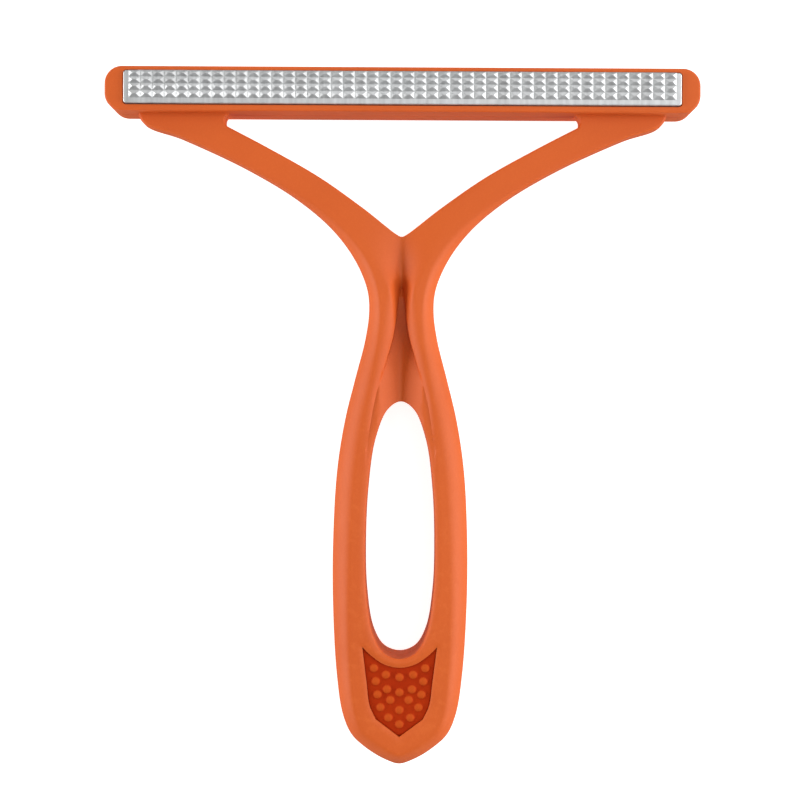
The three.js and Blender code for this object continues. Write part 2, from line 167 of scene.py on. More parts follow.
# ---- Curves in plan ----

def smooth(knots, closed=False, step=CURVE_STEP):
    """A centripetal Catmull-Rom curve through the knots, as evenly spaced points."""
    knots = np.array(knots, float)
    if closed:
        padded = np.vstack([knots[-1:], knots, knots[:2]])
    else:
        padded = np.vstack([2 * knots[0] - knots[1], knots, 2 * knots[-1] - knots[-2]])
    fine = []
    for p0, p1, p2, p3 in zip(padded, padded[1:], padded[2:], padded[3:]):
        t1 = math.sqrt(np.linalg.norm(p1 - p0))
        t2 = t1 + math.sqrt(np.linalg.norm(p2 - p1))
        t3 = t2 + math.sqrt(np.linalg.norm(p3 - p2))
        t = np.linspace(t1, t2, 33)[:-1, None]
        a1 = (t1 - t) / t1 * p0 + t / t1 * p1
        a2 = (t2 - t) / (t2 - t1) * p1 + (t - t1) / (t2 - t1) * p2
        a3 = (t3 - t) / (t3 - t2) * p2 + (t - t2) / (t3 - t2) * p3
        b1 = (t2 - t) / t2 * a1 + t / t2 * a2
        b2 = (t3 - t) / (t3 - t1) * a2 + (t - t1) / (t3 - t1) * a3
        fine.extend((t2 - t) / (t2 - t1) * b1 + (t - t1) / (t2 - t1) * b2)
    fine = np.vstack([fine, padded[-2:-1]])
    return evenly(fine, step)


def evenly(line, step):
    """The same line with its points moved to an even spacing; its ends stay."""
    lengths = np.linalg.norm(np.diff(line, axis=0), axis=1)
    along = np.concatenate([[0], np.cumsum(lengths)])
    count = max(2, int(round(along[-1] / step)) + 1)
    places = np.linspace(0, along[-1], count)
    return np.column_stack([np.interp(places, along, line[:, 0]), np.interp(places, along, line[:, 1])])


def mirrored(knots):
    return [[-x, y] for x, y in reversed(knots) if x != 0]


def arc(centre, radius, start, end, steps):
    angles = np.radians(np.linspace(start, end, steps + 1))
    return np.column_stack([centre[0] + radius * np.cos(angles), centre[1] + radius * np.sin(angles)])


def rounded_rectangle(low, high, radius, steps=6):
    corners = [
        (high[0] - radius, low[1] + radius, -90), (high[0] - radius, high[1] - radius, 0),
        (low[0] + radius, high[1] - radius, 90), (low[0] + radius, low[1] + radius, 180),
    ]
    return np.vstack([arc((x, y), radius, start, start + 90, steps) for x, y, start in corners])


def handle_side():
    """The outside of the arms and the handle, clockwise from the right arm's root."""
    right = ARM_KNOTS + HANDLE_KNOTS
    return smooth(right + mirrored(right))


def gap_outline():
    """The open triangle between the bar and the arms, counter-clockwise."""
    centre_x, radius = GAP_CORNER
    right_corner = arc((centre_x, BAR_BOTTOM - radius), radius, -62, 90, 10)
    left_corner = np.flipud(right_corner * [-1, 1])
    knots = GAP_KNOTS + [list(right_corner[0])]
    side = smooth(mirrored(knots) + knots)
    underside = evenly(np.array([right_corner[-1], left_corner[0]]), 2)
    return np.vstack([side, right_corner[1:], underside[1:], left_corner[1:-1]])


def loop_outline(step=CURVE_STEP):
    return smooth(LOOP_KNOTS + mirrored(LOOP_KNOTS), closed=True, step=step)[:-1]


def arch_line():
    return smooth(mirrored(ARCH_KNOTS) + ARCH_KNOTS)


def shield_outline(step=CURVE_STEP):
    """Counter-clockwise: down the left side, up the right one and back along the top."""
    top = smooth(mirrored(SHIELD_TOP) + SHIELD_TOP, step=step)
    side = smooth(SHIELD_SIDE, step=step)
    foot = evenly(np.array([side[-1], SHIELD_APEX]), step)
    right = np.vstack([side[1:], foot[1:]])
    left = np.flipud(right[:-1] * [-1, 1])
    return np.flipud(np.vstack([top, right, left[:-1]]))


def inward(line, distance, closed=False):
    """The line moved to its left by a distance, which may differ from point to point."""
    before = np.roll(line, 1, axis=0) if closed else np.vstack([line[:1], line[:-1]])
    after = np.roll(line, -1, axis=0) if closed else np.vstack([line[1:], line[-1:]])
    along = after - before
    along /= np.linalg.norm(along, axis=1)[:, None]
    normal = np.column_stack([-along[:, 1], along[:, 0]])
    return line + normal * np.reshape(distance, (-1, 1))


def inset(outline, distance):
    """A closed outline moved inwards, without the points that would fold over at its corners."""
    moved = inward(outline, distance, closed=True)
    return moved[distance_to(moved, closed_line(outline)) > FOLD_LIMIT * distance]


# ---- Distances and tests on many points ----

def distance_to(points, line):
    """How far each point is from the nearest part of a line."""
    starts = line[:-1]
    spans = line[1:] - starts
    lengths = np.maximum((spans ** 2).sum(1), 1e-12)
    result = np.empty(len(points))
    for first in range(0, len(points), CHUNK):
        offset = points[first:first + CHUNK, None] - starts
        along = np.clip((offset * spans).sum(2) / lengths, 0, 1)
        gap = offset - along[..., None] * spans
        result[first:first + CHUNK] = np.sqrt((gap ** 2).sum(2).min(1))
    return result


def closed_line(outline):
    return np.vstack([outline, outline[:1]])


def inside(points, outline):
    """Which points an outline holds, by counting the edges to the right of each."""
    ring = closed_line(outline)
    low, high = ring[:-1], ring[1:]
    result = np.empty(len(points), bool)
    rise = np.where(high[:, 1] == low[:, 1], 1e-12, high[:, 1] - low[:, 1])
    for first in range(0, len(points), CHUNK):
        x = points[first:first + CHUNK, :1]
        y = points[first:first + CHUNK, 1:]
        crosses = (low[:, 1] > y) != (high[:, 1] > y)
        where = low[:, 0] + (y - low[:, 1]) / rise * (high[:, 0] - low[:, 0])
        result[first:first + CHUNK] = (crosses & (x < where)).sum(1) % 2 == 1
    return result


def soft_table(y, knots, softness=6.0):
    """A value looked up by height along the tool, with its corners rounded off."""
    knots = np.array(sorted(knots), float)
    reach, step = 130, 0.25  # past both ends of the tool
    fine = np.arange(-reach, reach, step)
    values = np.interp(fine, knots[:, 0], knots[:, 1])
    kernel = np.hanning(int(softness / step) * 2 + 1)
    kernel /= kernel.sum()
    half = len(kernel) // 2
    values = np.convolve(np.pad(values, half, mode="edge"), kernel, mode="valid")
    return np.interp(y, fine, values)


def edge_drop(distance, width, depth, slope=0.0, power=1.3):
    """How far a rounded edge lies below its face: part quarter ellipse, part steady slope."""
    across = np.clip(1 - distance / np.maximum(width, 1e-6), 0, 1)
    return depth * ((1 - slope) * (1 - np.sqrt(1 - across ** 2)) + slope * across ** power)


def soft_min(a, b, softness):
    """The lower of two heights, blended where they are close."""
    blend = np.clip(0.5 + 0.5 * (b - a) / softness, 0, 1)
    return b * (1 - blend) + a * blend - softness * blend * (1 - blend)


# ---- The handle's surface ----

# Each table lists pairs of a place along the tool and the value there, for soft_table to look up.

CREST = [
    (ARM_ROOT, 3), (76, 3.3), (62, 4.3), (50, 5.5), (40, 6.2), (30, 6.5), (10, 6.9),
    (-15, 7.3), (-40, 7.8), (-56, HALF_DEPTH), (-120, HALF_DEPTH),
]
FLANK_WIDTH = [
    (66, 0.7), (60, 1.2), (48, 2.8), (42, 3.3), (34, 3.1), (25.6, 3.7), (17, 4.1),
    (6, 5.0), (-9, 5.4), (-37, 5.1), (-75, 4.1), (-90, 3.6),
]
FLANK_DEPTH = [
    (66, 0.7), (60, 1.3), (48, 3.2), (42, 4.0), (34, 4.3), (20, 4.7), (6, 4.9),
    (-37, 5.2), (-75, 4.8), (-90, 4.2),
]
GAP_EDGE = [(66, 0.6), (60, 1.4), (52, 1.6)]
ROD_EDGE = [(36, 3.3), (25, 3.3), (17, 2.7), (13, 2.1), (5, 1.5), (-9, 0.6), (-13, 0.1)]
LOOP_EDGE = [(4.4, 0.5), (-2, 1.2), (-9, 2.0), (-37, 1.8), (-60, 1.8), (-66, 1.3)]
EDGE_FALL = 0.45  # depth of the loop's rounding, as a share of its width
ROD_FALL = 0.58  # the same for the slope beside the web
FLANK_SLOPE = 0.45
VALLEY_WIDTH = [
    (66, 30), (60, 23), (56, 18), (52, 13.5), (48, 10.5), (45, 8.8), (42, 7.4), (38, 5.0),
    (34, 3.0), (30, 2.3), (20, 2.3),
]
VALLEY_DEPTH = [
    (66, 0), (62, 0.3), (58, 1.2), (54, 2.1), (50, 2.7), (46, 3.1), (42, 3.5), (38, 3.8),
    (35, 3.8), (31, 2.6), (27, 1.0), (24, 0),
]
VALLEY_CURVE = 1.8
VALLEY_END = 22  # the web takes over below this
VALLEY_BLEND = 0.15
VALLEY_BOTTOM = [(56, 0.9), (48, 0.5), (42, 0.7), (36, 0.4)]  # radius of its rounded bottom
ARCH_WALL = 0.2  # width in plan of the step along the arch
ARCH_CLEARANCE = 0.22
WEB_FLOOR = [(37, 2.5), (33, 1.2), (24, 0.9), (16, 1.8), (10, 2.4), (4, 2.7)]
WEB_SLOPE = [(26, 0.1), (20, 0.4), (14, 0.62), (4, 0.62)]
WEB_BOTTOM = 0.5
SHIELD_LIP = 1.6
SHIELD_DIP = 0.45
LIP_STEPS = [0.01, 0.35, 0.75, 1.15, 1.5]
TIP_START = -91.5
TIP_REACH = 4.8
TIP_FALL = 2.2


def crest_height(y):
    """Half thickness along the centre of the rods, which rounds off at the tip."""
    height = soft_table(y, CREST)
    beyond = np.clip((TIP_START - y) / TIP_REACH, 0, 1)
    turn = (1.25 - np.sqrt(1.25 ** 2 - beyond)) / 0.5  # rises from 0 to 1, steeper towards the tip
    return height - TIP_FALL * turn ** 2


def valley_height(x, y, crest):
    """The floor between the arms above the neck: a wide dish that narrows into a groove."""
    bottom = soft_table(y, VALLEY_BOTTOM, 3)
    across = (np.sqrt(x ** 2 + bottom ** 2) - bottom) / soft_table(y, VALLEY_WIDTH, 3)
    depth = soft_table(y, VALLEY_DEPTH, 2)
    return crest - depth * (1 - np.clip(across, 0, 1)) ** VALLEY_CURVE


def rod_height(points, lines):
    """The surface of arms, neck and rods, without the web between the rods."""
    x, y = points.T
    crest = crest_height(y)
    height = crest - edge_drop(
        distance_to(points, lines["side"]), soft_table(y, FLANK_WIDTH), soft_table(y, FLANK_DEPTH),
        FLANK_SLOPE,
    )
    gap_width = soft_table(y, GAP_EDGE, 3)
    height -= edge_drop(distance_to(points, closed_line(lines["gap"])), gap_width, gap_width)
    loop_width = soft_table(y, LOOP_EDGE, 3)
    height -= edge_drop(
        distance_to(points, closed_line(lines["loop"])), loop_width, EDGE_FALL * loop_width, 0.5,
    )
    valley = valley_height(x, y, crest)
    height = np.where(y > VALLEY_END, soft_min(height, valley, VALLEY_BLEND), height)
    rod_width = soft_table(y, ROD_EDGE, 3)
    arch_distance = np.where(web_side(points, lines), 0, distance_to(points, lines["arch"]))
    height -= edge_drop(arch_distance, rod_width, ROD_FALL * rod_width, 0.9, 1.6)
    shield = distance_to(points, closed_line(lines["shield"]))
    return height - SHIELD_DIP * np.clip(1 - shield / SHIELD_LIP, 0, 1) ** 2


def web_side(points, lines):
    """Points inside the arch, past its steep wall."""
    arch = lines["arch"]
    return inside(points, arch) & (distance_to(points, arch) > ARCH_WALL / 2)


def surface_height(points, lines):
    """The whole front surface: inside the arch the web lies below the rods, behind a small step."""
    x, y = points.T
    rods = rod_height(points, lines)
    across = np.sqrt(x ** 2 + WEB_BOTTOM ** 2) - WEB_BOTTOM
    web = np.minimum(rods, soft_table(y, WEB_FLOOR, 3) + soft_table(y, WEB_SLOPE, 3) * across)
    return np.where(web_side(points, lines), web, rods)


# ---- Meshes ----

def hex_grid(low, high, spacing):
    """Staggered points that fill a rectangle, nearly the same distance from all six neighbours."""
    row_share = 0.87
    rows = np.arange(low[1], high[1], spacing * row_share)
    columns = np.arange(low[0], high[0], spacing)
    x, y = np.meshgrid(columns, rows)
    x[1::2] += spacing / 2
    return np.column_stack([x.ravel(), y.ravel()])


def rings(line, widths, closed, steps=11):
    """Points beside an edge, set closer together where its rounding is steep."""
    result = []
    for turn in np.linspace(0, math.pi / 2, steps + 1)[1:]:
        distance = widths * (1 - math.cos(turn))
        moved = inward(line, distance, closed)
        true_distance = distance_to(moved, closed_line(line) if closed else line)
        result.append(moved[true_distance > FOLD_LIMIT * distance])
    return np.vstack(result)


def triangulate(outline, holes, extra, lines=()):
    """Plan triangles inside the outline and outside its holes."""
    points, edges = [], []
    for ring in [outline, *holes]:
        first = len(points)
        points.extend(ring)
        edges.extend((first + i, first + (i + 1) % len(ring)) for i in range(len(ring)))
    for line in lines:
        first = len(points)
        points.extend(line)
        edges.extend((first + i, first + i + 1) for i in range(len(line) - 1))
    points.extend(extra)
    found = geometry.delaunay_2d_cdt([Vector(p) for p in points], edges, [], 0, 1e-4)
    flat = np.array([tuple(v) for v in found[0]])
    triangles = np.array([face for face in found[2] if len(face) == 3])
    centres = flat[triangles].mean(1)
    keep = inside(centres, outline)
    for hole in holes:
        keep &= ~inside(centres, hole)
    return flat, triangles[keep]


def border_edges(triangles):
    """Directed edges that only one triangle has."""
    directed = {(a, b) for t in triangles for a, b in ((t[0], t[1]), (t[1], t[2]), (t[2], t[0]))}
    return [(a, b) for a, b in directed if (b, a) not in directed]


def solid_from_surface(flat, triangles, heights, chamfer=0.0, base=0.0):
    """A closed solid between a height surface and a flat base, with a chamfer round the base."""
    used = np.unique(triangles)
    number = np.full(len(flat), -1)
    number[used] = np.arange(len(used))
    flat = flat[used]
    triangles = number[triangles]
    vertices = [(x, y, z) for (x, y), z in zip(flat, heights[used])]
    faces = [tuple(t) for t in triangles]
    edges = sorted(border_edges(triangles))
    following = dict(edges)
    leading = {b: a for a, b in edges}
    order = sorted(following)
    shifted = {}
    for v in order:
        along = flat[following[v]] - flat[leading[v]]
        along /= np.linalg.norm(along)
        shifted[v] = flat[v] + chamfer * np.array([-along[1], along[0]])
    wall, foot = {}, {}
    for v in order:
        if chamfer:
            wall[v] = len(vertices)
            vertices.append((*flat[v], base + chamfer))
        foot[v] = len(vertices)
        vertices.append((*shifted[v], base))
    for a, b in edges:
        if chamfer:
            faces.append((b, a, wall[a], wall[b]))
            faces.append((wall[b], wall[a], foot[a], foot[b]))
        else:
            faces.append((b, a, foot[a], foot[b]))
    loops = chained(following)
    rims = [np.array([shifted[v] for v in loop]) for loop in loops]
    outer = max(range(len(rims)), key=lambda i: np.ptp(rims[i][:, 1]) * np.ptp(rims[i][:, 0]))
    loops.insert(0, loops.pop(outer))
    rims.insert(0, rims.pop(outer))
    rim_points = [foot[v] for loop in loops for v in loop]
    base_flat, base_triangles = triangulate(rims[0], rims[1:], [])
    if len(base_flat) != len(rim_points):
        raise RuntimeError("the base has points that its rim doesn't")
    faces.extend((rim_points[a], rim_points[c], rim_points[b]) for a, b, c in base_triangles)
    return np.array(vertices), faces


def chained(following):
    """Splits a table of each point's next point into closed loops."""
    loops, left = [], set(following)
    while left:
        loop = [min(left)]
        while following[loop[-1]] != loop[0]:
            loop.append(following[loop[-1]])
            if len(loop) > len(following):
                raise RuntimeError("an outline folds over itself, so its border never closes")
        left -= set(loop)
        loops.append(loop)
    return loops


def prism(outline, bottom, top, bottom_grow=0.0, top_edge=0.0, steps=4):
    """A plan outline raised between two heights, with a chamfered foot and a rounded top edge."""
    layers = [(bottom, -bottom_grow)] if bottom_grow else []
    layers.append((bottom + bottom_grow, 0))
    if top_edge:
        for turn in np.linspace(0, math.pi / 2, steps + 1):
            drawn_in = top_edge * (1 - math.cos(turn))
            layers.append((top - top_edge + top_edge * math.sin(turn), -drawn_in))
    else:
        layers.append((top, 0))
    count = len(outline)
    vertices = []
    for height, grow in layers:
        ring = inward(outline, -grow, closed=True)
        vertices.extend((x, y, height) for x, y in ring)
    faces = []
    for layer in range(len(layers) - 1):
        for i in range(count):
            j = (i + 1) % count
            low, high = layer * count, (layer + 1) * count
            faces.append((low + i, low + j, high + j, high + i))
    faces.append(tuple(reversed(range(count))))
    faces.append(tuple(range(len(vertices) - count, len(vertices))))
    return np.array(vertices), faces


def post(x, y, radius, bottom, top, steps=32):
    return prism(arc((x, y), radius, 0, 360, steps)[:-1], bottom, top)


def block(low, high, bottom, top):
    corners = np.array([[low[0], low[1]], [high[0], low[1]], [high[0], high[1]], [low[0], high[1]]])
    return prism(corners, bottom, top)


def new_object(name, shape, rear=False):
    """A mesh object in the frame. The rear side is the front turned over about Y."""
    vertices, faces = shape
    x, y, z = vertices.T
    side = -1 if rear else 1
    placed = np.column_stack([side * x, y, MIDDLE + side * z]) * MM
    mesh = bpy.data.meshes.new(name)
    mesh.from_pydata(placed.tolist(), [], faces)
    mesh.validate()
    obj = bpy.data.objects.new(name, mesh)
    bpy.context.scene.collection.objects.link(obj)
    return obj


def combine(obj, shapes, operation, rear=False):
    """Adds or cuts shapes, one after another, and leaves no modifier behind."""
    for shape in shapes:
        other = new_object("tool", shape, rear)
        modifier = obj.modifiers.new("combine", "BOOLEAN")
        modifier.operation = operation
        modifier.solver = "MANIFOLD"
        modifier.object = other
        bake_modifiers(obj)
        mesh = other.data
        bpy.data.objects.remove(other)
        bpy.data.meshes.remove(mesh)


def bake_modifiers(obj):
    evaluated = obj.evaluated_get(bpy.context.evaluated_depsgraph_get())
    mesh = bpy.data.meshes.new_from_object(evaluated)
    mesh.name = obj.name
    old = obj.data
    obj.modifiers.clear()
    obj.data = mesh
    bpy.data.meshes.remove(old)


def finish_shading(obj, angle=32, weighted=True):
    obj.data.shade_smooth()
    obj.data.set_sharp_from_angle(angle=math.radians(angle))
    if weighted:
        modifier = obj.modifiers.new("normals", "WEIGHTED_NORMAL")
        modifier.keep_sharp = True
        modifier.weight = 60
        bake_modifiers(obj)


# ---- Shells ----

def handle_shape():
    lines = {
        "side": handle_side(),
        "gap": gap_outline(),
        "loop": loop_outline(),
        "arch": arch_line(),
        "shield": shield_outline(),
    }
    side = np.flipud(lines["side"])  # counter-clockwise, so that inward is to the left
    closing = evenly(np.array([side[-1], side[0]]), 2)
    outline = np.vstack([side, closing[1:-1]])
    arch = lines["arch"]
    arch_inner = inward(arch, -ARCH_WALL)[2:-2]
    lip = np.vstack([inward(lines["shield"], -step, closed=True) for step in LIP_STEPS])
    edge_points = np.vstack([
        rings(side, soft_table(side[:, 1], FLANK_WIDTH), False),
        rings(np.flipud(lines["gap"]), soft_table(lines["gap"][::-1, 1], GAP_EDGE, 3), True, 6),
        rings(lines["loop"], soft_table(lines["loop"][:, 1], LOOP_EDGE, 3), True, 7),
        lip,
    ])
    grid = np.vstack([
        hex_grid((-SIDE_REACH, -HALF_LENGTH), (SIDE_REACH, ARM_ROOT), GRID_STEP),
        hex_grid(NECK_LOW, NECK_HIGH, NECK_GRID_STEP),
    ])
    grid = grid[inside(grid, outline) & ~inside(grid, lines["gap"]) & ~inside(grid, lines["loop"])]
    borders = [side, closed_line(lines["gap"]), closed_line(lines["loop"])]
    gaps = np.min([distance_to(grid, line) for line in [*borders, arch]], axis=0)
    extra = np.vstack([edge_points, grid[gaps > EDGE_CLEARANCE]])
    extra = extra[distance_to(extra, arch) > ARCH_CLEARANCE]
    flat, triangles = triangulate(outline, [lines["gap"], lines["loop"]], extra, [arch, arch_inner])
    return solid_from_surface(flat, triangles, surface_height(flat, lines), PARTING_CHAMFER)


def bar_shape():
    outline = rounded_rectangle((-HALF_HEAD, BAR_BOTTOM), (HALF_HEAD, BAR_TOP), BAR_CORNER, 12)
    return prism(outline, 0, BAR_FACE, PARTING_CHAMFER, BAR_EDGE, 5)


def pocket_shape():
    low = STRIP_LOW[:2] - POCKET_GAP
    high = STRIP_HIGH[:2] + POCKET_GAP
    return prism(rounded_rectangle(low, high, POCKET_CORNER), POCKET_FLOOR, HALF_DEPTH + PAST)


def half_width(outline, y):
    """The distance from the centre line to an outline, at each height along the tool."""
    right = outline[outline[:, 0] >= 0]
    order = np.argsort(right[:, 1])
    return np.interp(y, right[order, 1], right[order, 0])


def cavities():
    """The hollows inside a half shell: the bar, both rods and the lower end."""
    low = (-HALF_HEAD + FLANK_WALL, BAR_BOTTOM + WALL)
    high = (HALF_HEAD - FLANK_WALL, BAR_TOP - WALL)
    bar = block(low, high, -PAST, POCKET_FLOOR - WALL)
    side, loop = handle_side(), loop_outline()
    y = np.linspace(*ROD_HOLLOW, 40)
    outer = np.column_stack([half_width(side, y) - FLANK_WALL, y])
    inner = np.column_stack([half_width(loop, y) + WALL, y])
    rod = np.vstack([outer, np.flipud(inner)])
    rods = [prism(rod, -PAST, ROD_HOLLOW_TOP), prism(np.flipud(rod * [-1, 1]), -PAST, ROD_HOLLOW_TOP)]
    y = np.linspace(*END_HOLLOW, 24)
    right = np.column_stack([half_width(side, y) - FLANK_WALL, y])
    end = prism(np.vstack([right, np.flipud(right * [-1, 1])]), -PAST, END_HOLLOW_TOP)
    return [bar, *rods, end]


def screw_places():
    """Where each screw stands, and the height of the floor over its head."""
    middle = (STRIP_LOW[1] + STRIP_HIGH[1]) / 2
    return [(x, middle, POCKET_FLOOR) for x in SCREW_X] + [(0, END_SCREW_Y, RECESS_FLOOR)]


def drill_front(shell):
    """Holes for the screws' heads and shanks, and the locating pegs."""
    holes = [post(x, y, SHANK_RADIUS, -PAST, floor + PAST) for x, y, floor in screw_places()]
    holes += [post(x, y, HEAD_RADIUS, floor - HEAD_DEPTH, floor + PAST) for x, y, floor in screw_places()]
    combine(shell, holes, "DIFFERENCE")
    combine(shell, [post(x, y, PEG_RADIUS, -PEG_LENGTH, PEG_ROOT) for x, y in PEG_PLACES], "UNION")


def drill_rear(shell):
    """Pilot holes and peg sockets, mirrored so that they face those of the front half."""
    holes = [post(-x, y, PILOT_RADIUS, -PAST, PILOT_DEPTH) for x, y, _ in screw_places()]
    holes += [post(-x, y, SOCKET_RADIUS, -PAST, SOCKET_DEPTH) for x, y in PEG_PLACES]
    combine(shell, holes, "DIFFERENCE", rear=True)


def make_shell(name, node, handle, rear):
    shell = new_object(name, handle, rear)
    combine(shell, [bar_shape()], "UNION", rear)
    shield = prism(shield_outline(), RECESS_FLOOR, HALF_DEPTH + PAST)
    combine(shell, [pocket_shape(), shield], "DIFFERENCE", rear)
    combine(shell, cavities(), "DIFFERENCE", rear)
    bosses = [post(x, y, BOSS_RADIUS, 0, floor - BOSS_DROP) for x, y, floor in screw_places()]
    combine(shell, bosses, "UNION", rear)
    if rear:
        drill_rear(shell)
    else:
        drill_front(shell)
    finish_shading(shell)
    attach(shell, "root")
    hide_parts(node)
    return shell


# ---- Toothed strips ----

TOOTH_COLUMNS = 46
TOOTH_PITCH = 3.25
TOOTH_RIDGE = 0.9
TOOTH_ROOT = 7.45
STRIP_MARGIN_FACE = 7.5
STRIP_EDGE = 0.35
STRIP_CORNER = 0.8
TOOTH_BEVEL = 0.09
TEETH_FOOT = POCKET_FLOOR + 0.6  # hidden inside the strip
FIELD_DEPTH = 0.3  # how far the strip is cleared below the teeth's roots
FIELD_LAP = 0.01  # the teeth overlap the strip by this
ROW_VALLEYS = [0.05, 1.7, 3.52, 5.44, 7.5]  # below the strip's upper edge
ROW_CRESTS = [0.79, 2.62, 4.42, 6.46]


def add_teeth(mesh):
    """Rows of hipped teeth, each with a short ridge between four roots."""
    top = STRIP_HIGH[1]
    half = TOOTH_COLUMNS * TOOTH_PITCH / 2
    root = {}
    for row, offset in enumerate(ROW_VALLEYS):
        for column in range(TOOTH_COLUMNS + 1):
            x = column * TOOTH_PITCH - half
            root[row, column] = mesh.verts.new((x, top - offset, TOOTH_ROOT))
    for row, offset in enumerate(ROW_CRESTS):
        for column in range(TOOTH_COLUMNS):
            middle = (column + 0.5) * TOOTH_PITCH - half
            left = mesh.verts.new((middle - TOOTH_RIDGE / 2, top - offset, HALF_DEPTH))
            right = mesh.verts.new((middle + TOOTH_RIDGE / 2, top - offset, HALF_DEPTH))
            a, b = root[row, column], root[row, column + 1]
            c, d = root[row + 1, column + 1], root[row + 1, column]
            mesh.faces.new((a, left, right, b))
            mesh.faces.new((d, c, right, left))
            mesh.faces.new((a, d, left))
            mesh.faces.new((b, right, c))


def teeth_shape():
    """A block with the teeth on top, whose creases are softened."""
    mesh = bmesh.new()
    add_teeth(mesh)
    creases = [edge for edge in mesh.edges if len(edge.link_faces) == 2]
    for face in mesh.faces:
        if face.normal.z < 0:
            face.normal_flip()
    bmesh.ops.bevel(
        mesh, geom=creases, offset=TOOTH_BEVEL, segments=2, profile=0.5, affect="EDGES",
        clamp_overlap=True,
    )
    rim = [edge for edge in mesh.edges if edge.is_boundary]
    sunk = bmesh.ops.extrude_edge_only(mesh, edges=rim)["geom"]
    low_verts = [item for item in sunk if isinstance(item, bmesh.types.BMVert)]
    for vert in low_verts:
        vert.co.z = TEETH_FOOT
    low_edges = [item for item in sunk if isinstance(item, bmesh.types.BMEdge)]
    bmesh.ops.contextual_create(mesh, geom=low_edges)
    bmesh.ops.triangulate(mesh, faces=mesh.faces)
    bmesh.ops.recalc_face_normals(mesh, faces=mesh.faces)
    mesh.verts.index_update()
    vertices = np.array([tuple(v.co) for v in mesh.verts])
    faces = [tuple(v.index for v in face.verts) for face in mesh.faces]
    mesh.free()
    return vertices, faces


def make_strip(name, node, rear):
    outline = rounded_rectangle(STRIP_LOW[:2], STRIP_HIGH[:2], STRIP_CORNER, 5)
    bottom = STRIP_LOW[2] - MIDDLE
    strip = new_object(name, prism(outline, bottom, STRIP_MARGIN_FACE, 0, STRIP_EDGE, 4), rear)
    half = TOOTH_COLUMNS * TOOTH_PITCH / 2
    field_low = (-half + FIELD_LAP, STRIP_HIGH[1] - ROW_VALLEYS[-1] + FIELD_LAP)
    field_high = (half - FIELD_LAP, STRIP_HIGH[1] + PAST)
    field = block(field_low, field_high, TOOTH_ROOT - FIELD_DEPTH, HALF_DEPTH)
    combine(strip, [field], "DIFFERENCE", rear)
    combine(strip, [teeth_shape()], "UNION", rear)
    finish_shading(strip, 24)
    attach(strip, "root")
    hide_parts(node)
    return strip


# ---- Grip pads ----

def nub_centres():
    """Both halves of every row, whose middle hangs below its ends by the row's sag."""
    centres = []
    for distances, end, sag in NUB_ROWS:
        reach = max(max(distances), 1e-6)
        for x in distances:
            y = end - sag * (1 - (x / reach) ** 2)
            centres.extend([(x, y)] if x == 0 else [(x, y), (-x, y)])
    return np.array(centres)


def pad_shape():
    """A shield-shaped plate with rounded edges and a field of small domes."""
    outline = inset(shield_outline(PAD_OUTLINE_STEP), PAD_GAP)
    centres = nub_centres()
    extra = [rings(outline, np.full(len(outline), PAD_EDGE_WIDTH), True, 5)]
    for x, y in centres:
        extra.append(np.array([[x, y]]))
        extra.extend(arc((x, y), radius, 0, 360, 28)[:-1] for radius in NUB_RINGS)
    grid = hex_grid(PAD_GRID_LOW, PAD_GRID_HIGH, PAD_GRID_STEP)
    gaps = np.linalg.norm(grid[:, None] - centres, axis=2).min(1)
    grid = grid[(gaps > NUB_CLEARANCE) & inside(grid, outline)]
    grid = grid[distance_to(grid, closed_line(outline)) > PAD_EDGE_WIDTH + EDGE_CLEARANCE / 2]
    flat, triangles = triangulate(outline, [], np.vstack([*extra, grid]))
    edge = distance_to(flat, closed_line(outline))
    height = PAD_FACE - edge_drop(edge, PAD_EDGE_WIDTH, PAD_EDGE_DEPTH)
    away = np.linalg.norm(flat[:, None] - centres, axis=2).min(1)
    dome = NUB_HEIGHT * np.clip(1 - (away / NUB_RADIUS) ** 2, 0, 1) ** 0.8
    return solid_from_surface(flat, triangles, height + dome, 0.0, RECESS_FLOOR)


def make_pad(name, node, shape, rear):
    pad = new_object(name, shape, rear)
    finish_shading(pad, 55, weighted=False)
    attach(pad, "root")
    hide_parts(node)
    return pad


# ---- Materials ----

